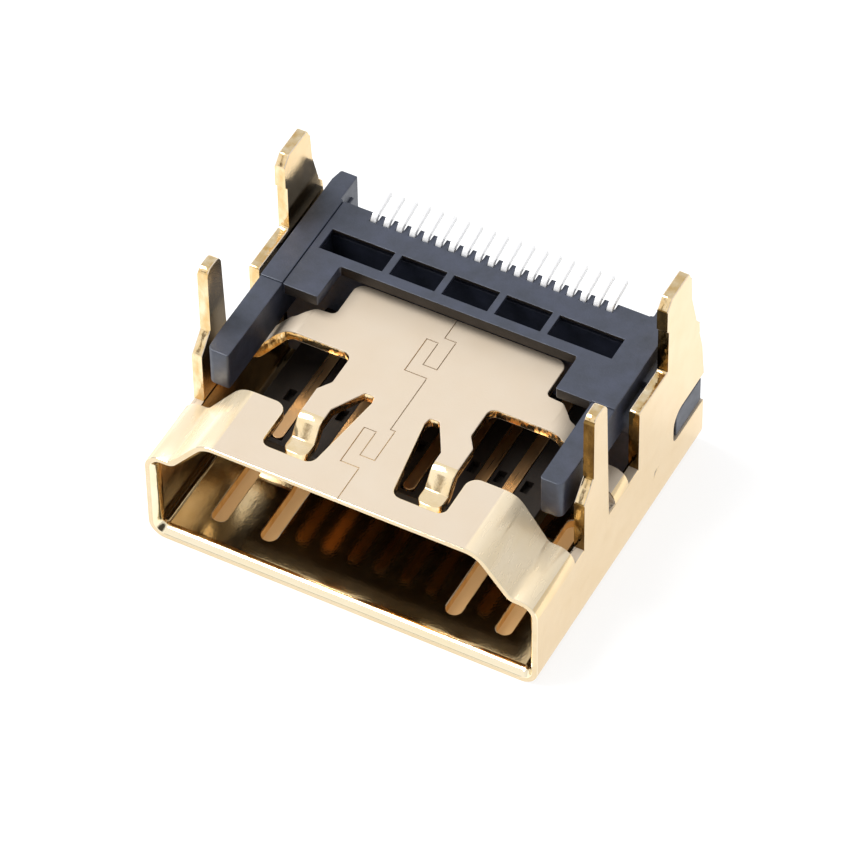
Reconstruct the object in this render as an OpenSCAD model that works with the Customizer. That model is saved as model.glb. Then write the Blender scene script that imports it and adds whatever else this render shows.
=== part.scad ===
// Digital video socket, lying on the wide face of its shell with the board legs up.
// X runs across the mouth, the mouth looks toward -Y, Z runs up to the board side.

/* [Mouth] */
// clear width between the upright side walls
mouth_w = 14.0; // [13.9:0.05:14.1]
// clear height between the wide and the narrow face
mouth_h = 4.8; // [4.7:0.05:4.9]
// clear height of the upright side walls
wall_h = 3.25; // [3.15:0.05:3.3]
// clear width across the narrow face
narrow_w = 10.0; // [9.9:0.05:10.1]
// width of the flat shoulder over each side wall
shoulder_w = 0.75; // [0.7:0.05:0.8]
// depth of the lead-in bevel round the mouth
lead_in = 0.3; // [0.2:0.05:0.35]

/* [Shell] */
// thickness of the folded sheet
sheet_t = 0.4; // [0.36:0.01:0.42]
// depth of the shell from the mouth to its rear edge
shell_l = 12.4; // [12.35:0.05:12.45]
// inside radius of the folds
fold_r = 0.25; // [0.2:0.05:0.3]
// inside radius of the bends beside the narrow face
face_fold_r = 0.6; // [0.5:0.05:0.7]
// rear edge of the front ring on the narrow face
ring_l = 2.92; // [2.86:0.02:2.98]
// front edge of the bridge behind the windows
bridge_y = 5.9; // [5.8:0.05:6]
// rear edge of the bridge at its ends
bridge_end_y = 7.1; // [7.05:0.05:7.2]
// rear edge of the narrow face
face_end_y = 8.9; // [8.85:0.05:8.95]
// width of the narrow face behind the bridge
face_end_w = 8.0; // [7.8:0.05:8.2]
// width of the seam line where the two edges of the sheet meet
seam_w = 0.04; // [0.03:0.01:0.06]

/* [Springs] */
// centre of each narrow-face spring from the middle
spring_x = 2.51; // [2.45:0.01:2.55]
// width of each spring
spring_w = 0.88; // [0.8:0.02:0.92]
// drop of the spring foot below the narrow face
spring_drop = 0.62; // [0.4:0.02:0.7]
// front end of the spring
spring_tip_y = 1.55; // [1.5:0.05:1.7]
// front edge of the spring slot
slot_front_y = 1.0; // [0.9:0.05:1.1]
// centre of each wide-face spring from the middle
floor_spring_x = 4.48; // [4.42:0.02:4.54]
// width of each wide-face spring
floor_spring_w = 1.32; // [1.26:0.02:1.38]
// width of the slots beside a wide-face spring
floor_slot_w = 0.58; // [0.52:0.02:0.62]
// front end of the slots beside a wide-face spring
floor_slot_y = 1.2; // [1.1:0.05:1.3]
// rise of the wide-face springs into the mouth
floor_spring_rise = 0.4; // [0.3:0.05:0.5]

/* [Board legs] */
// tip of the front legs above the board face
front_leg_h = 2.65; // [2:0.05:3]
// tip of the rear legs above the board face
rear_leg_h = 3.05; // [2.4:0.05:3.4]
// front edge of the front legs
front_leg_y = 4.05; // [4:0.05:4.1]
// width of the front legs at the tip
front_leg_w = 0.9; // [0.8:0.01:0.95]
// front edge of the rear legs
rear_leg_y = 9.5; // [9.4:0.05:9.6]
// width of the rear legs at the tip
rear_leg_w = 1.5; // [1.4:0.05:1.6]

/* [Housing] */
// height of the board face over the wide face of the shell
board_z = 6.55; // [6.5:0.05:6.6]
// width of the tongue
tongue_w = 10.7; // [10.5:0.1:10.9]
// front end of the tongue
tongue_y = 2.5; // [2.4:0.05:2.6]
// thickness of the tongue
tongue_t = 0.8; // [0.75:0.05:0.85]
// upper face of the tongue over the wide face
tongue_top = 3.6; // [3.55:0.05:3.65]
// front end of the two rails
rail_y = 3.2; // [3.15:0.05:3.3]
// rear end of the two rails
rail_end_y = 12.5; // [12.5:0.05:12.6]
// depth of the rails
rail_h = 1.7; // [1.6:0.05:1.72]

/* [Tail spacer] */
// thickness of the spacer plate
spacer_t = 0.45; // [0.4:0.05:0.5]
// front edge of the spacer between the shelves
spacer_y = 8.55; // [8.5:0.05:8.6]
// front edge of the two shelves
shelf_y = 6.95; // [6.9:0.01:7]
// clear width between the shelves
shelf_gap = 9.0; // [8.9:0.05:9.1]
// rear face of the comb
comb_y = 11.3; // [11.25:0.05:11.3]

/* [Contacts] */
// distance between neighbouring tails
tail_pitch = 0.5; // [0.49:0.005:0.51]
// width of the contact strips
contact_w = 0.43; // [0.38:0.01:0.46]
// thickness of the contact strips
contact_t = 0.2; // [0.16:0.01:0.22]
// width of the tails
tail_w = 0.22; // [0.18:0.01:0.23]
// front end of the upper contact strips
upper_tip_y = 2.95; // [2.9:0.05:3.1]
// front end of the lower contact strips
lower_tip_y = 3.45; // [3.3:0.05:3.6]
// rear end of the tails
tail_end_y = 12.1; // [12:0.05:12.3]

/* [Hidden] */

gold = [0.86, 0.68, 0.32];
slate = [0.16, 0.17, 0.20];
tin = [0.84, 0.83, 0.80];

arc_steps = 8;
over = 1;
mid_y = rail_end_y / 2;

// inside and outside corners of the shell, right half
side_in = mouth_w / 2;
side_out = side_in + sheet_t;
ledge_in = side_in - shoulder_w;
face_in = narrow_w / 2;
wall_top = sheet_t + wall_h;
shoulder_z = wall_top + sheet_t;
roof_z = sheet_t + mouth_h;
face_z = roof_z + sheet_t;
slant = [face_in - ledge_in, roof_z - wall_top];
slant_n = [slant.y, -slant.x] / norm(slant);
slant_p = [ledge_in, wall_top] + sheet_t * slant_n;
ledge_out = slant_p.x + slant.x / slant.y * (shoulder_z - slant_p.y);
face_out = slant_p.x + slant.x / slant.y * (face_z - slant_p.y);
cut_z = wall_top - 0.2;

outside_half = [[side_out, 0], [side_out, shoulder_z], [ledge_out, shoulder_z], [face_out, face_z]];
inside_half = [[side_in, sheet_t], [side_in, wall_top], [ledge_in, wall_top], [face_in, roof_z]];
outside_r = [fold_r + sheet_t, fold_r + sheet_t, fold_r, face_fold_r + sheet_t];
inside_r = [fold_r, fold_r, fold_r + sheet_t, face_fold_r];

// spring windows of the narrow face
finger_in = spring_x - spring_w / 2;
finger_out = spring_x + spring_w / 2;
finger_root_y = 3.4;
throat_x = finger_out - 0.33;
slot_out = finger_out + 0.48;
slot_in = 1.5;
slit_in = 1.0;
slit_end_y = 4.57;

// wide-face springs
floor_bend_y = 3.4;
floor_crest_y = 4.6;
floor_bend_end_y = 5.8;
floor_slot_end_y = 6.8;

// side walls behind the bridge
plate_y = 7.4;
ledge_z = board_z - 0.35;
side_slot_y = 10.1;
side_slot_z = 2.05;
side_slot_h = 1.35;

// plastic
rail_in = 5.85;
rail_out = 6.7;
cheek_out = side_in - 0.05;
rail_z = board_z - rail_h;
body_y = 9.0;
body_end_y = 10.5;
spacer_top = board_z - 0.06;
plate_z = spacer_top - spacer_t;
spacer_hw = rail_in - 0.005;
window_y = 9.0;
window_l = 0.96;
window_skin = 0.15;
window_hw = 5.55;
rib_w = 0.28;
mid_window_w = 1.72;
comb_block_z = 5.3;
rail_narrow_y = 11.3;
rail_narrow_in = 5.95;
slot_fit = 0.02;

// small mould pits between the upper strips
pit_y = 4.6;
pit_l = 0.55;
pit_w = 0.3;
pit_deep = 0.3;

// contacts
upper_z = tongue_top + 0.05 - contact_t / 2;
lower_z = tongue_top - tongue_t - 0.05 + contact_t / 2;
riser_y = comb_y - 0.32;
tail_z = board_z + 0.02;
tail_rise = 0.22;
tail_count = 19;

function mirrored(half) = concat(half, [for (i = [len(half) - 1:-1:0]) [-half[i].x, half[i].y]]);
function doubled(radii) = concat(radii, [for (i = [len(radii) - 1:-1:0]) radii[i]]);

// the centre of a corner rounded to a radius
function corner_centre(a, b, c, r) =
    let (u = (a - b) / norm(a - b), v = (c - b) / norm(c - b))
    b + (u + v) / norm(u + v) * r / sin(acos(u * v) / 2);

// the points along a corner rounded to a radius
function round_corner(a, b, c, r) =
    let (
        m = corner_centre(a, b, c, r),
        u = (a - b) / norm(a - b),
        v = (c - b) / norm(c - b),
        reach = r / tan(acos(u * v) / 2),
        p = b + u * reach - m,
        q = b + v * reach - m,
        start = atan2(p.y, p.x),
        turn = atan2(q.y, q.x) - start,
        sweep = turn > 180 ? turn - 360 : turn < -180 ? turn + 360 : turn
    )
    [for (i = [0:arc_steps]) m + r * [cos(start + sweep * i / arc_steps), sin(start + sweep * i / arc_steps)]];

function round_poly(path, radii) =
    let (n = len(path))
    [for (i = [0:n - 1]) each radii[i] > 0
        ? round_corner(path[(i + n - 1) % n], path[i], path[(i + 1) % n], radii[i])
        : [path[i]]];

// an open line with its inner corners rounded
function round_line(path, r) =
    let (n = len(path))
    [for (i = [0:n - 1]) each i > 0 && i < n - 1
        ? round_corner(path[i - 1], path[i], path[i + 1], r)
        : [path[i]]];

// the outline of a strip of thickness t that follows a line
function strip_outline(line, t) =
    let (
        n = len(line),
        along = [for (i = [0:n - 1]) line[min(i + 1, n - 1)] - line[max(i - 1, 0)]],
        side = [for (d = along) [-d.y, d.x] / norm(d) * t / 2]
    )
    concat([for (i = [0:n - 1]) line[i] + side[i]], [for (i = [n - 1:-1:0]) line[i] - side[i]]);

// a profile drawn in X and Z, run from one Y to another
module along_y(a, b) {
    translate([0, b, 0])
        rotate([90, 0, 0])
            linear_extrude(height = b - a)
                children();
}

// a profile drawn in Y and Z, run from one X to another
module across_x(a, b) {
    translate([a, 0, 0])
        rotate([90, 0, 90])
            linear_extrude(height = b - a)
                children();
}

module both_sides() {
    children();
    mirror([1, 0, 0])
        children();
}

module box(low, high) {
    translate(low)
        cube(high - low);
}

module tube() {
    difference() {
        along_y(0, shell_l)
            polygon(round_poly(mirrored(outside_half), doubled(outside_r)));
        along_y(-over, shell_l + over)
            polygon(round_poly(mirrored(inside_half), doubled(inside_r)));
    }
}

// what is left of the folded sheet above the side walls, seen from above
module roof_plan() {
    face_hw = face_end_w / 2;
    reach = side_out + over;
    half = [[reach, -over], [reach, bridge_end_y - 0.4], [face_out, bridge_end_y - 0.4],
        [face_out - 0.5, bridge_end_y + 0.1], [face_hw, bridge_end_y + 0.15], [face_hw, face_end_y]];
    polygon(round_poly(mirrored(half), doubled([0, 0, 0.2, 0.3, 0.2, 0.4])));
}

// the opening round one spring, with the spring itself left out
module spring_window() {
    reach = side_out + over;
    path = [[throat_x, bridge_y], [face_out, bridge_y], [ledge_out, bridge_y - 0.15], [reach, bridge_y - 0.25],
        [reach, ring_l - 0.15], [ledge_out, ring_l - 0.15], [face_out, ring_l], [slot_out, ring_l],
        [slot_out, slot_front_y], [slot_in, slot_front_y], [slit_in, slit_end_y - 0.3],
        [slit_in + 0.05, slit_end_y], [slit_in + 0.4, slit_end_y], [finger_in, finger_root_y],
        [finger_out, finger_root_y], [finger_out, finger_root_y + 0.62], [throat_x, finger_root_y + 1.1]];
    radii = [0.3, 0, 0, 0, 0, 0, 0, 0.45, 0.3, 0.35, 0.1, 0.12, 0.12, 0, 0, 0.1, 0.25];
    translate([0, 0, cut_z])
        linear_extrude(height = face_z)
            polygon(round_poly(path, radii));
}

module face_spring() {
    top = face_z - sheet_t / 2;
    foot = top - spring_drop;
    line = round_line([[finger_root_y, top], [2.82, top], [2.32, foot], [spring_tip_y, foot + 0.04]], 0.3);
    across_x(finger_in, finger_out)
        polygon(strip_outline(line, sheet_t));
}

// the two slots beside one wide-face spring, with the middle of the spring cut free
module floor_spring_window() {
    root = floor_spring_w / 2;
    wide = root + floor_slot_w;
    r = floor_slot_w * 0.48;
    path = [[-wide, floor_slot_y], [-root, floor_slot_y], [-root, floor_bend_y], [root, floor_bend_y],
        [root, floor_slot_y], [wide, floor_slot_y], [wide, floor_slot_end_y], [root, floor_slot_end_y],
        [root, floor_bend_end_y], [-root, floor_bend_end_y], [-root, floor_slot_end_y], [-wide, floor_slot_end_y]];
    translate([floor_spring_x, 0, -over])
        linear_extrude(height = over + 2 * sheet_t)
            polygon(round_poly(path, [r, r, 0, 0, r, r, r, r, 0, 0, r, r]));
}

// the middle of one wide-face spring, bent up into the mouth
module floor_spring() {
    low = sheet_t / 2;
    line = round_line([[floor_bend_y - 0.1, low], [floor_bend_y + 0.2, low], [floor_crest_y, low + floor_spring_rise],
        [floor_bend_end_y - 0.2, low], [floor_bend_end_y + 0.1, low]], 0.5);
    across_x(floor_spring_x - floor_spring_w / 2, floor_spring_x + floor_spring_w / 2)
        polygon(strip_outline(line, sheet_t));
}

module front_leg() {
    top = board_z + front_leg_h;
    base = cut_z - 0.4;
    path = [[front_leg_y - 0.65, base], [front_leg_y - 0.65, board_z - 0.9], [front_leg_y, board_z - 0.2],
        [front_leg_y, top], [front_leg_y + front_leg_w, top], [front_leg_y + front_leg_w + 0.2, board_z - 1],
        [front_leg_y + front_leg_w + 0.27, base]];
    across_x(side_in, side_out)
        polygon(round_poly(path, [0, 0.15, 0.2, 0.3, 0.3, 0, 0]));
}

// the rear part of a side wall with its ledge and leg
module rear_plate() {
    top = board_z + rear_leg_h;
    base = cut_z - 0.4;
    back = rear_leg_y + rear_leg_w;
    path = [[plate_y, base], [plate_y, ledge_z], [rear_leg_y, ledge_z], [rear_leg_y, board_z + 1.6],
        [rear_leg_y - 0.12, board_z + 1.75], [rear_leg_y - 0.12, top - 0.35], [rear_leg_y + 0.22, top],
        [back, top], [back + 0.16, top - 0.35], [back + 0.24, board_z + 1.6], [back + 0.64, board_z + 0.2],
        [back + 0.88, board_z - 0.12], [back + 0.93, board_z - 0.65], [back + 1.2, board_z - 1.6], [shell_l, base]];
    radii = [0, 0.1, 0.12, 0.05, 0.05, 0.1, 0.12, 0.1, 0.1, 0.3, 0.15, 0.1, 0.1, 0.3, 0];
    across_x(side_in, side_out)
        polygon(round_poly(path, radii));
}

// the points of one bend of the mouth, moved out into the metal by grow
function mouth_bend(i, grow) =
    let (
        path = mirrored(inside_half),
        n = len(path),
        a = path[(i + n - 1) % n],
        b = path[i],
        c = path[(i + 1) % n],
        r = doubled(inside_r)[i],
        m = corner_centre(a, b, c, r),
        out = cross(b - a, c - b) > 0 ? grow : -grow
    )
    [for (p = round_corner(a, b, c, r)) m + (p - m) * (r + out) / r];

function mouth_loop(grow, y) =
    [for (i = [0:2 * len(inside_half) - 1]) each [for (p = mouth_bend(i, grow)) [p.x, y, p.y]]];

// the flared plug that cuts the lead-in bevel into the mouth
module mouth_lead_in() {
    lip = 0.05;
    rise = lead_in * 0.7 * (1 + lip / lead_in);
    back = mouth_loop(0, lead_in);
    fore = mouth_loop(rise, -lip);
    n = len(back);
    polyhedron(
        points = concat(back, fore),
        faces = concat([[for (i = [0:n - 1]) i]], [[for (i = [n - 1:-1:0]) n + i]],
            [for (i = [0:n - 1]) [i, n + i, n + (i + 1) % n, (i + 1) % n]]));
}

// the line where the two edges of the sheet hook into each other
module seam() {
    hook = [[0, 0], [-0.7, 0], [-0.7, 1.66], [-0.25, 1.66], [-0.25, 0.52], [0.3, 0.52], [0.3, 1.97]];
    first = [for (p = hook) p + [0, 1.54]];
    second = [for (p = hook) p * 0.96 + [-0.05, 6.08]];
    path = concat([[0, -over]], first, [[0.12, first[6].y], [0.12, second[0].y]], second,
        [[-0.2, second[6].y], [-0.2, face_end_y + over]]);
    deep = sheet_t / 8;
    translate([0, 0, face_z - deep])
        for (i = [0:len(path) - 2])
            let (d = path[i + 1] - path[i])
                translate(path[i])
                    rotate([0, 0, atan2(d.y, d.x)])
                        translate([-seam_w / 2, -seam_w / 2, 0])
                            cube([norm(d) + seam_w, seam_w, deep + over]);
}

module side_cuts() {
    slot = [[side_slot_y, side_slot_z], [shell_l + over, side_slot_z],
        [shell_l + over, side_slot_z + side_slot_h], [side_slot_y, side_slot_z + side_slot_h]];
    across_x(side_in - over, side_out + over)
        polygon(round_poly(slot, [0.25, 0, 0, 0.6]));
    across_x(side_out - 0.1, side_out + over)
        polygon([[8.62, 1.85], [8.86, 2.02], [8.7, 2.02]]);
}

module rear_corner_cut() {
    r = 0.5;
    difference() {
        box([side_in - 0.3, shell_l - r, -over], [side_out + over, shell_l + over, r]);
        across_x(side_in - over, side_out + 2 * over)
            translate([shell_l - r, r])
                circle(r = r, $fn = 40);
    }
}

module shell() {
    translate([0, -mid_y, 0])
        color(gold)
            difference() {
                union() {
                    difference() {
                        tube();
                        difference() {
                            box([-side_out - over, 0, cut_z], [side_out + over, shell_l + over, face_z + over]);
                            translate([0, 0, cut_z - over])
                                linear_extrude(height = face_z + 2 * over)
                                    roof_plan();
                        }
                        both_sides()
                            spring_window();
                        both_sides()
                            floor_spring_window();
                    }
                    both_sides()
                        face_spring();
                    both_sides()
                        floor_spring();
                    both_sides()
                        front_leg();
                    both_sides()
                        rear_plate();
                }
                mouth_lead_in();
                seam();
                both_sides()
                    side_cuts();
                both_sides()
                    rear_corner_cut();
            }
}

function tail_x(k) = (k - (tail_count + 1) / 2) * tail_pitch;
function in_lower_row(k) = k % 2 == 1;
function strip_z(k) = in_lower_row(k) ? lower_z : upper_z;
function strip_tip_y(k) = in_lower_row(k) ? lower_tip_y : upper_tip_y;

module tongue() {
    low = tongue_top - tongue_t;
    nose = 0.25;
    across_x(-tongue_w / 2, tongue_w / 2)
        polygon([[tongue_y, low + nose], [tongue_y + nose, low], [body_y + 0.1, low], [body_y + 0.1, tongue_top],
            [tongue_y + nose, tongue_top], [tongue_y, tongue_top - nose]]);
}

module rail() {
    step_y = shelf_y;
    step = 0.06;
    plan = [[rail_in, rail_y], [rail_out - 0.04, rail_y], [rail_out, rail_y + 1], [rail_out, rail_end_y - 0.5],
        [rail_out - 0.1, rail_end_y], [rail_narrow_in, rail_end_y], [rail_narrow_in, rail_narrow_y],
        [rail_in, rail_narrow_y]];
    difference() {
        translate([0, 0, rail_z])
            linear_extrude(height = rail_h)
                polygon(round_poly(plan, [0.1, 0.25, 0, 0.1, 0.1, 0.05, 0.05, 0]));
        box([rail_in - over, rail_y - over, board_z - step], [rail_out + over, step_y, board_z + over]);
    }
}

// the upright cheek that carries a rail, with its ledge and the lug in the side slot
module cheek() {
    box([rail_in, body_y, 0.75], [cheek_out, 12.05, board_z - 0.6]);
    box([rail_out - 0.1, plate_y + 0.15, rail_z], [cheek_out, 12.05, board_z - 0.9]);
    box([cheek_out - 0.1, side_slot_y + 0.3, side_slot_z + 0.06],
        [side_out - 0.06, shell_l - 0.1, side_slot_z + side_slot_h - 0.2]);
}

module contact_channels() {
    for (k = [1:tail_count]) {
        x = tail_x(k);
        z = strip_z(k);
        wide = contact_w / 2 + slot_fit;
        high = in_lower_row(k) ? contact_t / 2 : contact_t;
        low = in_lower_row(k) ? contact_t : contact_t / 2;
        box([x - wide, strip_tip_y(k) - slot_fit, z - low], [x + wide, body_y, z + high]);
        box([x - wide, body_y - over / 2, z - contact_t / 2], [x + wide, body_end_y + over, z + contact_t / 2]);
    }
}

module tongue_pits() {
    for (k = [1:2:tail_count])
        box([tail_x(k) - pit_w / 2, pit_y, tongue_top - pit_deep],
            [tail_x(k) + pit_w / 2, pit_y + pit_l, tongue_top + over]);
}

module housing() {
    translate([0, -mid_y, 0])
        color(slate)
            difference() {
                union() {
                    box([-rail_in, body_y, sheet_t], [rail_in, body_end_y, plate_z]);
                    tongue();
                    both_sides()
                        rail();
                    both_sides()
                        cheek();
                }
                box([-window_hw - 0.1, body_y + 0.3, 4.0], [window_hw + 0.1, body_end_y - 0.4, board_z]);
                contact_channels();
                tongue_pits();
            }
}

module spacer_plan() {
    hw = spacer_hw;
    gap = shelf_gap / 2;
    half = [[hw, comb_y], [hw, shelf_y], [gap, shelf_y], [gap, spacer_y]];
    polygon(round_poly(mirrored(half), doubled([0.05, 0.08, 0.08, 0.1])));
}

module spacer_windows() {
    step = mid_window_w + rib_w;
    inner = mid_window_w * 1.5 + 2 * rib_w;
    for (i = [-1:1])
        box([i * step - mid_window_w / 2, window_y, plate_z - over],
            [i * step + mid_window_w / 2, window_y + window_l, board_z + over]);
    both_sides()
        box([inner, window_y, plate_z - over], [window_hw, window_y + window_l, board_z + over]);
    box([-window_hw - 0.1, window_y, plate_z - over], [window_hw + 0.1, body_end_y - 0.1, spacer_top - window_skin]);
}

module comb_slots() {
    wide = tail_w / 2 + slot_fit;
    for (k = [1:tail_count])
        box([tail_x(k) - wide, riser_y - contact_t / 2, comb_block_z - over],
            [tail_x(k) + wide, comb_y + over, board_z + over]);
}

module tail_spacer() {
    translate([0, -mid_y, 0])
        color(slate)
            difference() {
                union() {
                    translate([0, 0, plate_z])
                        linear_extrude(height = spacer_t)
                            spacer_plan();
                    box([-spacer_hw + 0.3, body_end_y, comb_block_z], [spacer_hw - 0.3, comb_y, plate_z + spacer_t / 2]);
                }
                spacer_windows();
                comb_slots();
            }
}

module contact(k) {
    x = tail_x(k);
    z = strip_z(k);
    neck_y = body_end_y - 0.3;
    line = round_line([[neck_y - 0.2, z], [riser_y, z], [riser_y, tail_z], [tail_end_y, tail_z + tail_rise]], 0.22);
    tip_y = strip_tip_y(k);
    plan = [[-contact_w / 2, tip_y], [contact_w / 2, tip_y], [contact_w / 2, neck_y], [-contact_w / 2, neck_y]];
    translate([x, -mid_y, 0])
        color(tin) {
            translate([0, 0, z - contact_t / 2])
                linear_extrude(height = contact_t)
                    polygon(round_poly(plan, [contact_w * 0.49, contact_w * 0.49, 0, 0]));
            across_x(-tail_w / 2, tail_w / 2)
                polygon(strip_outline(line, contact_t));
        }
}

shell();
housing();
tail_spacer();
contact(1);  // contact_01
contact(2);  // contact_02
contact(3);  // contact_03
contact(4);  // contact_04
contact(5);  // contact_05
contact(6);  // contact_06
contact(7);  // contact_07
contact(8);  // contact_08
contact(9);  // contact_09
contact(10);  // contact_10
contact(11);  // contact_11
contact(12);  // contact_12
contact(13);  // contact_13
contact(14);  // contact_14
contact(15);  // contact_15
contact(16);  // contact_16
contact(17);  // contact_17
contact(18);  // contact_18
contact(19);  // contact_19
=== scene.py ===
import math
import bpy
import bmesh
from mathutils import Matrix, Vector


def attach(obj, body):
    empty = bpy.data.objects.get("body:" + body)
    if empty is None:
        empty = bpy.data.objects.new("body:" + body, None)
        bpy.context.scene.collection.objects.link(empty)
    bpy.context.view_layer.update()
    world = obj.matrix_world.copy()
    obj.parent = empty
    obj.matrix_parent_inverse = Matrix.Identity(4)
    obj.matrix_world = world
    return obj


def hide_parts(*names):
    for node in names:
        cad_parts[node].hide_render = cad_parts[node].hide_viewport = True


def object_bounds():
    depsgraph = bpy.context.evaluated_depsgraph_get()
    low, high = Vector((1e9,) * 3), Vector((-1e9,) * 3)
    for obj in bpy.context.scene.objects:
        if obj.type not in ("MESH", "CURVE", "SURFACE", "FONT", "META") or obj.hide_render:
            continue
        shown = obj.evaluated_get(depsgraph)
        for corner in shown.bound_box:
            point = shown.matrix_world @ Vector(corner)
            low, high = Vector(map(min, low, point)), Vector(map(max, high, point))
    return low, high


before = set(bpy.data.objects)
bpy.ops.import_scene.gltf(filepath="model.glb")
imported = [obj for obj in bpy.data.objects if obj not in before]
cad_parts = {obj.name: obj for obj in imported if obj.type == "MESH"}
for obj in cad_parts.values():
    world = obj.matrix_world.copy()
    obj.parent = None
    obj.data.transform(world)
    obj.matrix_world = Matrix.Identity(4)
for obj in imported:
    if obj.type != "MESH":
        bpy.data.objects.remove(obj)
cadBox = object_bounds()
mm = 0.001


# camera, set to the angle of the photograph
cameraSetup = {
    "eye": (64.7836, -118.1765, 154.3001),  # mm
    "azimuth": 28.76,  # degrees, the two below too
    "elevation": 48.301,
    "roll": -1.062,
    "lens": 254.118,
    "sensor": 36,
    "clip": (0.002, 20),  # m
}


def makeCamera(setup):
    azimuth = math.radians(setup["azimuth"])
    elevation = math.radians(setup["elevation"])
    roll = math.radians(setup["roll"])
    back = Vector((math.sin(azimuth) * math.cos(elevation), -math.cos(azimuth) * math.cos(elevation),
                   math.sin(elevation)))
    level = Vector((math.cos(azimuth), math.sin(azimuth), 0))
    rise = back.cross(level)
    right = level * math.cos(roll) + rise * math.sin(roll)
    up = rise * math.cos(roll) - level * math.sin(roll)
    data = bpy.data.cameras.new("photoCamera")
    data.lens = setup["lens"]
    data.sensor_width = setup["sensor"]
    data.clip_start, data.clip_end = setup["clip"]
    camera = bpy.data.objects.new("photoCamera", data)
    eye = Vector(setup["eye"]) * mm
    camera.matrix_world = Matrix(((right.x, up.x, back.x, eye.x), (right.y, up.y, back.y, eye.y),
                                  (right.z, up.z, back.z, eye.z), (0, 0, 0, 1)))
    bpy.context.scene.collection.objects.link(camera)
    bpy.context.scene.camera = camera


makeCamera(cameraSetup)
print("camera in place")


# node helpers
def newMaterial(name):
    material = bpy.data.materials.new(name)
    material.use_nodes = True
    nodes = material.node_tree.nodes
    links = material.node_tree.links
    return material, nodes, links, nodes["Principled BSDF"]


def stretchOn(nodes, links, place, scale):
    stretch = nodes.new("ShaderNodeMapping")
    stretch.inputs["Scale"].default_value = scale
    links.new(place, stretch.inputs["Vector"])
    return stretch.outputs["Vector"]


def noiseOn(nodes, links, place, scale, detail, roughness=0.5):
    noise = nodes.new("ShaderNodeTexNoise")
    noise.inputs["Scale"].default_value = scale
    noise.inputs["Detail"].default_value = detail
    noise.inputs["Roughness"].default_value = roughness
    links.new(place, noise.inputs["Vector"])
    return noise.outputs["Fac"]


def spanOn(nodes, links, source, low, high):
    span = nodes.new("ShaderNodeMapRange")
    span.inputs["From Min"].default_value = low
    span.inputs["From Max"].default_value = high
    links.new(source, span.inputs["Value"])
    return span.outputs["Result"]


def rampOn(nodes, links, source, colours, stops=(0, 1)):
    ramp = nodes.new("ShaderNodeValToRGB")
    for element, colour, position in zip(ramp.color_ramp.elements, colours, stops):
        element.position = position
        element.color = (*colour, 1)
    links.new(source, ramp.inputs["Fac"])
    return ramp.outputs["Color"]


def grey(value):
    return (value, value, value)


def bumpOn(nodes, links, height, distance, below=None):
    bump = nodes.new("ShaderNodeBump")
    bump.inputs["Strength"].default_value = 1
    bump.inputs["Distance"].default_value = distance
    links.new(height, bump.inputs["Height"])
    if below:
        links.new(below, bump.inputs["Normal"])
    return bump.outputs["Normal"]


# gold plating: pale on the faces, warmer on the sides and inside the tube, uneven over the sheared edges;
# painted shade on the right's cut faces toward the mouth and on the lip's square ends, a painted highlight
# on the lip's lead-in
goldFinish = {
    "outside": {"pale": (0.605, 0.512, 0.400), "warm": (0.595, 0.492, 0.372), "smooth": 0.4, "worn": 0.5,
                "cloud": 700, "ripple": 0.0000015, "rippleScale": 900, "stretch": (1, 1, 1), "metal": 0.1},
    "inside": {"pale": (0.84, 0.62, 0.34), "warm": (0.78, 0.55, 0.26), "smooth": 0.09, "worn": 0.16,
               "cloud": 1100, "ripple": 0.000006, "rippleScale": 900, "stretch": (1, 1, 1), "metal": 1},
    "sheared": {"pale": (0.97, 0.81, 0.54), "warm": (0.74, 0.48, 0.18), "smooth": 0.08, "worn": 0.3,
                "cloud": 2600, "ripple": 0.00004, "rippleScale": 2600, "stretch": (1, 1, 0.45), "metal": 1},
    "side": {"pale": (0.90, 0.70, 0.43), "warm": (0.87, 0.66, 0.38), "smooth": 0.16, "worn": 0.28,
             "cloud": 900, "ripple": 0.000002, "rippleScale": 900, "stretch": (1, 1, 1), "metal": 1},
    # the lead-in chamfers: a lighter gold as painted highlight
    "lip": {"pale": (0.96, 0.85, 0.63), "warm": (0.94, 0.81, 0.55), "smooth": 0.05, "worn": 0.12,
            "cloud": 1500, "ripple": 0.00003, "rippleScale": 900, "stretch": (0.25, 1, 1), "metal": 1},
    # the right's cut faces that look toward the mouth: the sheared gold darkened as painted shade, still
    # mottled
    "shadedSheared": {"pale": (0.38, 0.23, 0.07), "warm": (0.06, 0.03, 0.006), "smooth": 0.08, "worn": 0.3,
             "cloud": 2000, "ripple": 0.00005, "rippleScale": 2600, "stretch": (1, 1, 0.45), "metal": 1},
    "ring": {"pale": (0.87, 0.74, 0.54), "warm": (0.83, 0.68, 0.45), "smooth": 0.2, "worn": 0.34,
             "cloud": 1500, "ripple": 0.000004, "rippleScale": 1100, "stretch": (1, 0.3, 1), "metal": 0.4},
    # faces square on to the mouth: a darker gold as painted shade
    "end": {"pale": (0.80, 0.66, 0.45), "warm": (0.75, 0.60, 0.38), "smooth": 0.16, "worn": 0.3,
            "cloud": 2000, "ripple": 0.000004, "rippleScale": 1500, "stretch": (0.3, 1, 1), "metal": 1},
    "finger": {"pale": (0.96, 0.79, 0.53), "warm": (0.90, 0.70, 0.40), "smooth": 0.07, "worn": 0.16,
               "cloud": 1800, "ripple": 0.00002, "rippleScale": 1400, "stretch": (1, 1, 1), "metal": 0.75},
    "spring": {"pale": (0.84, 0.62, 0.34), "warm": (0.78, 0.55, 0.26), "smooth": 0.24, "worn": 0.36,
               "cloud": 1100, "ripple": 0.000006, "rippleScale": 900, "stretch": (1, 1, 1), "metal": 1},
}
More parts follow.
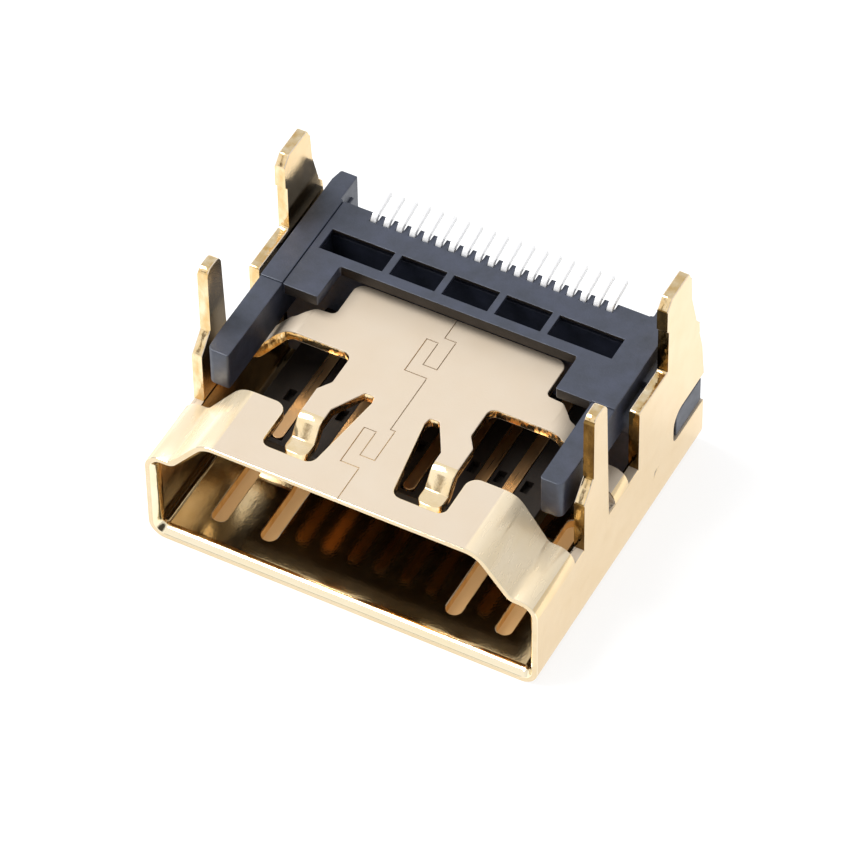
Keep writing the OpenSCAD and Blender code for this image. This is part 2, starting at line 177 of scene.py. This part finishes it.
goldPattern = {
    "cloudStops": (0.3, 0.72),
    "cloudDetail": 3,
    "hazeFiner": 2.3,  # times the cloud's scale
    "hazeStops": (0.35, 0.8),
    "hazeDetail": 4,
    "rippleDetail": 2,
    "grainScale": 12000,
    "grainDetail": 2,
    "grain": 0.0000022,  # m, as each ripple above
}


def makeGold(name, finish, pattern):
    material, nodes, links, shader = newMaterial(name)
    place = nodes.new("ShaderNodeTexCoord").outputs["Object"]
    drawn = stretchOn(nodes, links, place, finish["stretch"])
    cloud = noiseOn(nodes, links, drawn, finish["cloud"], pattern["cloudDetail"])
    tone = rampOn(nodes, links, cloud, (finish["pale"], finish["warm"]), pattern["cloudStops"])
    links.new(tone, shader.inputs["Base Color"])
    haze = noiseOn(nodes, links, drawn, finish["cloud"] * pattern["hazeFiner"], pattern["hazeDetail"])
    wear = rampOn(nodes, links, haze, (grey(finish["smooth"]), grey(finish["worn"])), pattern["hazeStops"])
    links.new(wear, shader.inputs["Roughness"])
    ripple = noiseOn(nodes, links, drawn, finish["rippleScale"], pattern["rippleDetail"])
    grain = noiseOn(nodes, links, place, pattern["grainScale"], pattern["grainDetail"])
    rippled = bumpOn(nodes, links, ripple, finish["ripple"])
    links.new(bumpOn(nodes, links, grain, pattern["grain"], rippled), shader.inputs["Normal"])
    shader.inputs["Metallic"].default_value = finish["metal"]
    return material


# fine matte moulding; on the tongue and the spacer's front a darker, warmer copy, painted shade with a
# painted reflection of the gold
plasticFinish = {
    "dark": (0.012, 0.014, 0.023),
    "light": (0.036, 0.041, 0.066),
    "rough": (0.5, 0.36),  # where dark, where light
    "sheen": 1.0,
    "sheenTint": (0.84, 0.90, 1.0),
    "cloudScale": 1500,
    "cloudDetail": 6,
    "cloudRough": 0.65,
    "cloudStops": (0.3, 0.7),
    "speckScale": 14000,
    "speckDetail": 3,
    "speck": 0.000005,  # m
}
# the same moulding darker and warmer: painted shade, its warm sheen tint a painted reflection of the gold
shadedMouldingFinish = dict(plasticFinish, dark=(0.010, 0.008, 0.007), light=(0.018, 0.014, 0.012), sheen=0.35,
                    sheenTint=(1.0, 0.9, 0.8))


def makePlastic(name, finish):
    material, nodes, links, shader = newMaterial(name)
    place = nodes.new("ShaderNodeTexCoord").outputs["Object"]
    cloud = noiseOn(nodes, links, place, finish["cloudScale"], finish["cloudDetail"], finish["cloudRough"])
    tone = rampOn(nodes, links, cloud, (finish["dark"], finish["light"]), finish["cloudStops"])
    links.new(tone, shader.inputs["Base Color"])
    wear = rampOn(nodes, links, cloud, map(grey, finish["rough"]), finish["cloudStops"])
    links.new(wear, shader.inputs["Roughness"])
    shader.inputs["Specular IOR Level"].default_value = finish["sheen"]
    shader.inputs["Specular Tint"].default_value = (*finish["sheenTint"], 1)
    speck = noiseOn(nodes, links, place, finish["speckScale"], finish["speckDetail"])
    links.new(bumpOn(nodes, links, speck, finish["speck"]), shader.inputs["Normal"])
    return material


# contacts: gold on the strips, tin on the tails, drawn lines along the strip
contactFinish = {
    "strip": (0.82, 0.49, 0.23),
    "tail": (0.84, 0.84, 0.84),
    "metal": (1, 0.35),  # strip, tail
    "changeY": (3.6, 4.0),  # mm, where gold gives way to tin
    "drawn": (9000, 300, 9000),
    "lineScale": 1,
    "lineDetail": 2,
    "lineStops": (0.3, 0.75),
    "rough": (0.26, 0.36),
    "line": 0.0000002,  # m
}


def makeContact(finish):
    material, nodes, links, shader = newMaterial("platedContact")
    place = nodes.new("ShaderNodeTexCoord").outputs["Object"]
    split = nodes.new("ShaderNodeSeparateXYZ")
    links.new(place, split.inputs["Vector"])
    low, high = finish["changeY"]
    along = spanOn(nodes, links, split.outputs["Y"], low * mm, high * mm)
    tone = rampOn(nodes, links, along, (finish["strip"], finish["tail"]))
    links.new(tone, shader.inputs["Base Color"])
    drawn = stretchOn(nodes, links, place, finish["drawn"])
    lines = noiseOn(nodes, links, drawn, finish["lineScale"], finish["lineDetail"])
    wear = rampOn(nodes, links, lines, map(grey, finish["rough"]), finish["lineStops"])
    links.new(wear, shader.inputs["Roughness"])
    links.new(bumpOn(nodes, links, lines, finish["line"]), shader.inputs["Normal"])
    links.new(rampOn(nodes, links, along, map(grey, finish["metal"])), shader.inputs["Metallic"])
    return material


shellFinishes = {name: makeGold("gold" + name.capitalize(), finish, goldPattern)
                 for name, finish in goldFinish.items()}
mouldingFinishes = {"body": makePlastic("blackMoulding", plasticFinish),
                    "tongue": makePlastic("blackMouldingInShade", shadedMouldingFinish)}
contactFinishes = {"plated": makeContact(contactFinish)}
print("finishes made")


# a copy of a solid with its outer edges eased, shaded smooth over the bends
easing = {
    "merge": 0.0000004,  # m
    "flat": math.radians(0.4),  # faces that meet flatter than this become one
    "corner": math.radians(30),  # outer edges sharper than this are eased
    "bend": math.radians(34),  # edges flatter than this are shaded smooth
    "segments": 2,
    "collapsed": 0.0000002,  # m
    "weight": 80,
}


def easeEdges(bm, edges, width, segments):
    bmesh.ops.bevel(bm, geom=edges, offset=width * mm, offset_type="OFFSET", affect="EDGES",
                    segments=segments, profile=0.5, material=-1, clamp_overlap=False)


def outerCorner(edge):
    return edge.is_manifold and edge.is_convex and edge.calc_face_angle(0) > easing["corner"]


def easedCopy(nodeName, pieceName, ease, finishes, chooser, staysSharp, rounded=()):
    bm = bmesh.new()
    bm.from_mesh(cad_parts[nodeName].data)
    bmesh.ops.remove_doubles(bm, verts=bm.verts, dist=easing["merge"])
    bmesh.ops.dissolve_limit(bm, angle_limit=easing["flat"], verts=bm.verts, edges=bm.edges)
    for picked, width, segments in rounded:
        easeEdges(bm, [e for e in bm.edges if picked(e)], width, segments)
    outer = [e for e in bm.edges if outerCorner(e) and not staysSharp(e)]
    easeEdges(bm, outer, ease, easing["segments"])
    bmesh.ops.dissolve_degenerate(bm, dist=easing["collapsed"], edges=bm.edges)
    bm.normal_update()
    finishNames = list(finishes)
    for face in bm.faces:
        face.smooth = True
        face.material_index = finishNames.index(chooser(face.calc_center_median() / mm, face.normal))
    for edge in bm.edges:
        edge.smooth = not edge.is_manifold or edge.calc_face_angle(0) < easing["bend"]
    mesh = bpy.data.meshes.new(pieceName)
    bm.to_mesh(mesh)
    bm.free()
    for material in finishes.values():
        mesh.materials.append(material)
    piece = bpy.data.objects.new(pieceName, mesh)
    bpy.context.scene.collection.objects.link(piece)
    weighted = piece.modifiers.new("evenNormals", "WEIGHTED_NORMAL")
    weighted.keep_sharp = True
    weighted.weight = easing["weight"]
    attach(piece, "root")
    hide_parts(nodeName)
    return piece


# the shell: a face's finish follows from where it lies on the folded sheet and which way it looks
shellSetup = {
    "edge": 0.04,  # mm, all below too
    "leadRound": (0.14, 4),  # width, segments
    "tipRound": (0.3, 5),
    "mouthY": cadBox[0][1] / mm,
    "leadIn": 0.3,  # back from the mouth, the five below too
    "lipDepth": 0.5,
    "fingerTip": 1.55,
    "ringEnd": 3,
    "fingerRoot": 3.1,
    "rearLegs": 7,
    "floorTop": 0.95,
    "sideSlotZ": 1.5,
    "axisZ": 2.8,
    "cutZ": 3.4,
    "legZ": 4.1,
    "windowZ": 4.2,
    "fingerZ": 4.5,
    "faceZ": 5.6,
    "faceSkin": 0.06,
    "seamDepth": 0.08,
    "fingerX": 2.51,
    "fingerHalf": 0.44,
    "fingerBright": 0.43,
    "floorSpringX": 4.48,
    "floorSpringHalf": 0.66,
    "floorHalf": 6.4,
    "wallIn": 7.0,
    "wallSlack": 0.02,
    "leadSlack": 0.01,
    "tipSlack": 0.1,
    "tipRise": 0.2,
}
shellFacing = {
    "mouth": -0.3,  # along y, the two below too
    # cut faces looking toward the mouth more than this get the painted shade
    "shadedSheared": -0.8,
    # lip faces squarer to the mouth than this take the darker gold as painted shade
    "mouthSquare": -0.9,
    "axis": 0.25,  # toward the tube's axis
    "wall": 0.7,  # along x
    "up": 0.6,  # along z
    "level": 0.9,
    "upright": 0.25,
    "edgeOn": 0.3,
}


def facesAxis(centre, normal):
    inward = Vector((-centre.x, 0, shellSetup["axisZ"] - centre.z)).normalized()
    return normal.dot(inward) > shellFacing["axis"]


def lipFinish(centre, normal):
    # within the lip, chamfers take the lighter gold (painted highlight), square ends the darker one
    # (painted shade)
    if normal.y < shellFacing["mouth"]:
        return "lip" if normal.y > shellFacing["mouthSquare"] else "end"
    return "inside" if facesAxis(centre, normal) else "ring"


def wallFinish(centre, normal):
    inSlot = centre.z > shellSetup["sideSlotZ"] and abs(normal.z) < shellFacing["level"]
    if abs(normal.x) < shellFacing["edgeOn"] and (centre.z > shellSetup["legZ"] or inSlot):
        # on the right, cut faces toward the mouth take the darker gold as painted shade
        return "shadedSheared" if centre.x > 0 and normal.y < shellFacing["shadedSheared"] else "sheared"
    if centre.z > shellSetup["cutZ"] and abs(centre.x) < shellSetup["wallIn"] + shellSetup["wallSlack"]:
        return "inside" if centre.y - shellSetup["mouthY"] > shellSetup["rearLegs"] else "side"
    return "side" if abs(normal.x) > shellFacing["wall"] else None


def floorFinish(centre, normal):
    side = abs(centre.x)
    if abs(normal.z) < shellFacing["edgeOn"] and side < shellSetup["floorHalf"]:
        return "sheared"
    onSpring = abs(side - shellSetup["floorSpringX"]) < shellSetup["floorSpringHalf"]
    return "spring" if normal.z > shellFacing["up"] and onSpring else None


def narrowFaceFinish(centre, normal):
    inSheet = shellSetup["windowZ"] < centre.z < shellSetup["faceZ"] - shellSetup["faceSkin"]
    if inSheet and abs(normal.z) < shellFacing["upright"]:
        return "sheared"
    onFinger = (abs(abs(centre.x) - shellSetup["fingerX"]) < shellSetup["fingerBright"]
                and centre.y - shellSetup["mouthY"] < shellSetup["fingerRoot"])
    return "finger" if onFinger and centre.z > shellSetup["fingerZ"] and normal.z > 0 else None


def shellChooser(centre, normal):
    fromMouth = centre.y - shellSetup["mouthY"]
    if fromMouth < shellSetup["lipDepth"]:
        return lipFinish(centre, normal)
    finish = None
    if abs(centre.x) > shellSetup["wallIn"] - shellSetup["wallSlack"]:
        finish = wallFinish(centre, normal)
    if not finish:
        finish = narrowFaceFinish(centre, normal)
    if not finish and centre.z < shellSetup["floorTop"]:
        finish = floorFinish(centre, normal)
    if finish:
        return finish
    if facesAxis(centre, normal):
        return "inside"
    return "ring" if fromMouth < shellSetup["ringEnd"] else "outside"


# the fine seam keeps its sharp lines
def seamEdge(edge):
    for face in edge.link_faces:
        lowest = min(v.co.z / mm for v in face.verts)
        inSeam = lowest > shellSetup["faceZ"] - shellSetup["seamDepth"]
        if inSeam and abs(face.normal.z) < shellFacing["edgeOn"]:
            return True
    return False


# inner edge of the lead-in bevel
def leadEdge(edge):
    lead = shellSetup["mouthY"] + shellSetup["leadIn"]
    return all(abs(v.co.y / mm - lead) < shellSetup["leadSlack"] for v in edge.verts)


# standing corners of the two finger tips
def tipEdge(edge):
    tip = shellSetup["mouthY"] + shellSetup["fingerTip"]
    ends = [v.co / mm for v in edge.verts]
    if abs(ends[0].z - ends[1].z) <= shellSetup["tipRise"]:
        return False
    for end in ends:
        fromFinger = abs(abs(end.x) - shellSetup["fingerX"])
        atCorner = abs(fromFinger - shellSetup["fingerHalf"]) < shellSetup["wallSlack"]
        if not atCorner or abs(end.y - tip) >= shellSetup["tipSlack"] or end.z <= shellSetup["windowZ"]:
            return False
    return True


shellPiece = easedCopy("shell", "foldedShell", shellSetup["edge"], shellFinishes, shellChooser,
                       seamEdge, [(leadEdge, *shellSetup["leadRound"]), (tipEdge, *shellSetup["tipRound"])])
print("shell eased", len(shellPiece.data.polygons))


# the mouldings: edges along the strips, and between rail and spacer on the right, stay sharp
mouldingSetup = {
    "housing": 0.05,  # mm, all sizes below too
    "tail_spacer": 0.03,
    "jointX": 5.845,
    "jointZ": 6.4,
    "jointSlack": 0.03,
    "strips": {"half": 5.2, "front": -3.4, "low": 2.5, "high": 3.75},
    "tongue": {"half": 5.4, "top": 4.0, "back": 2.7},
    "spacerHalf": 5.2,
    "spacerFront": -0.8,  # along y, which way the face looks
}


def besideStrips(place):
    strips = mouldingSetup["strips"]
    atLevel = strips["low"] < place.z < strips["high"]
    return atLevel and abs(place.x) < strips["half"] and place.y > strips["front"]


def onJoint(place):
    fromJoint = abs(place.x - mouldingSetup["jointX"])
    return fromJoint < mouldingSetup["jointSlack"] and place.z > mouldingSetup["jointZ"]


def sharpMouldingEdge(edge):
    places = [v.co / mm for v in edge.verts]
    return all(map(besideStrips, places)) or all(map(onJoint, places))


def housingChooser(centre, normal):
    tongue = mouldingSetup["tongue"]
    onTongue = abs(centre.x) < tongue["half"] and centre.z < tongue["top"] and centre.y < tongue["back"]
    # the tongue takes the darker, warmer copy: painted shade and painted gold reflection
    return "tongue" if onTongue else "body"


# the spacer's front between the rails takes the darker, warmer copy: painted shade with a painted
# reflection of the gold
def spacerChooser(centre, normal):
    inFront = normal.y < mouldingSetup["spacerFront"] and abs(centre.x) < mouldingSetup["spacerHalf"]
    return "tongue" if inFront else "body"


for nodeName, pieceName, chooser in (("housing", "tongueHousing", housingChooser),
                                     ("tail_spacer", "combSpacer", spacerChooser)):
    piece = easedCopy(nodeName, pieceName, mouldingSetup[nodeName], mouldingFinishes,
                      chooser, sharpMouldingEdge)
    print(pieceName, "eased", len(piece.data.polygons))


# the contacts: one finish, every outer edge eased
contactSetup = {"edge": 0.02, "count": 19}


def contactChooser(centre, normal):
    return "plated"


def noSharpEdge(edge):
    return False


for number in range(1, contactSetup["count"] + 1):
    easedCopy("contact_%02d" % number, "contactStrip%02d" % number, contactSetup["edge"],
              contactFinishes, contactChooser, noSharpEdge)
print("contacts eased")


# pale floor with a painted amber bounce glow beneath the part, soft studio light, and dark cards in the
# room for the plating to reflect
studio = {
    "floorSize": 3,  # m
    "floor": 0.34,
    "floorGlow": 0.76,
    "floorRough": 0.9,
    "floorSheen": 0.1,
    "underBounceTone": (0.5, 0.34, 0.17),  # beneath the part: painted amber bounce light, its tone and glow
    "underBounceGlow": (0.27, 0.155, 0.065),
    "glowFrom": ((6.5, 7.2), (5.3, 6.0)),  # mm from the middle, across and along
    "sky": (0.72, 0.73, 0.75),
    "front": (1.02, 1.02, 1.03),
    "frontFrom": (-0.17, -0.85, 0.5),
    "frontStops": (0.2, 0.85),
    "cards": [
        {"toward": (0.55, -0.62, 0.56), "stops": (0.85, 0.95), "shade": (0.06, 0.055, 0.05)},
        {"toward": (-0.32, -0.80, 0.50), "stops": (0.985, 0.9985), "shade": (0.2, 0.17, 0.13)},
    ],
    "top": {"place": (-0.32, -0.08, 0.52), "size": 0.33, "power": 3.55},  # m, m, W
}


def makeFloor(setup):
    bm = bmesh.new()
    bmesh.ops.create_grid(bm, x_segments=1, y_segments=1, size=setup["floorSize"])
    mesh = bpy.data.meshes.new("paleFloor")
    bm.to_mesh(mesh)
    bm.free()
    floor = bpy.data.objects.new("paleFloor", mesh)
    bpy.context.scene.collection.objects.link(floor)
    material, nodes, links, shader = newMaterial("paleFloor")
    shader.inputs["Roughness"].default_value = setup["floorRough"]
    shader.inputs["Specular IOR Level"].default_value = setup["floorSheen"]
    shader.inputs["Emission Strength"].default_value = 1
    split = nodes.new("ShaderNodeSeparateXYZ")
    links.new(nodes.new("ShaderNodeTexCoord").outputs["Object"], split.inputs["Vector"])
    beyond = nodes.new("ShaderNodeMath")
    beyond.operation = "MAXIMUM"
    for axis, socket, (low, high) in zip("XY", beyond.inputs, setup["glowFrom"]):
        away = nodes.new("ShaderNodeMath")
        away.operation = "ABSOLUTE"
        links.new(split.outputs[axis], away.inputs[0])
        links.new(spanOn(nodes, links, away.outputs[0], low * mm, high * mm), socket)
    # beneath the part the floor is tinted and glows amber: painted bounce light from the gold
    tone = rampOn(nodes, links, beyond.outputs[0], (setup["underBounceTone"], grey(setup["floor"])))
    links.new(tone, shader.inputs["Base Color"])
    glow = rampOn(nodes, links, beyond.outputs[0], (setup["underBounceGlow"], grey(setup["floorGlow"])))
    links.new(glow, shader.inputs["Emission Color"])
    mesh.materials.append(material)


def makeRoom(setup):
    world = bpy.data.worlds.new("softRoom")
    bpy.context.scene.world = world
    world.use_nodes = True
    nodes = world.node_tree.nodes
    links = world.node_tree.links
    look = nodes.new("ShaderNodeTexCoord").outputs["Generated"]

    def facing(toward, stops):
        turned = nodes.new("ShaderNodeVectorMath")
        turned.operation = "DOT_PRODUCT"
        turned.inputs[1].default_value = Vector(toward).normalized()
        links.new(look, turned.inputs[0])
        return spanOn(nodes, links, turned.outputs["Value"], *stops)

    toFront = facing(setup["frontFrom"], setup["frontStops"])
    room = rampOn(nodes, links, toFront, (setup["sky"], setup["front"]))
    for card in setup["cards"]:
        mixed = nodes.new("ShaderNodeMix")
        mixed.data_type = "RGBA"  # its colour sockets are inputs 6 and 7 and output 2
        mixed.inputs[7].default_value = (*card["shade"], 1)
        links.new(facing(card["toward"], card["stops"]), mixed.inputs[0])
        links.new(room, mixed.inputs[6])
        room = mixed.outputs[2]
    links.new(room, nodes["Background"].inputs["Color"])
    nodes["Background"].inputs["Strength"].default_value = 1


def makeLamp(setup):
    lamp = bpy.data.lights.new("topSoftbox", "AREA")
    lamp.size = setup["size"]
    lamp.energy = setup["power"]
    light = bpy.data.objects.new("topSoftbox", lamp)
    light.location = setup["place"]
    aim = Vector((0, 0, 0)) - light.location
    light.rotation_euler = aim.to_track_quat("-Z", "Y").to_euler()
    bpy.context.scene.collection.objects.link(light)


makeFloor(studio)
makeRoom(studio)
makeLamp(studio["top"])
bpy.context.scene.view_settings.view_transform = "Standard"
print("studio lit")
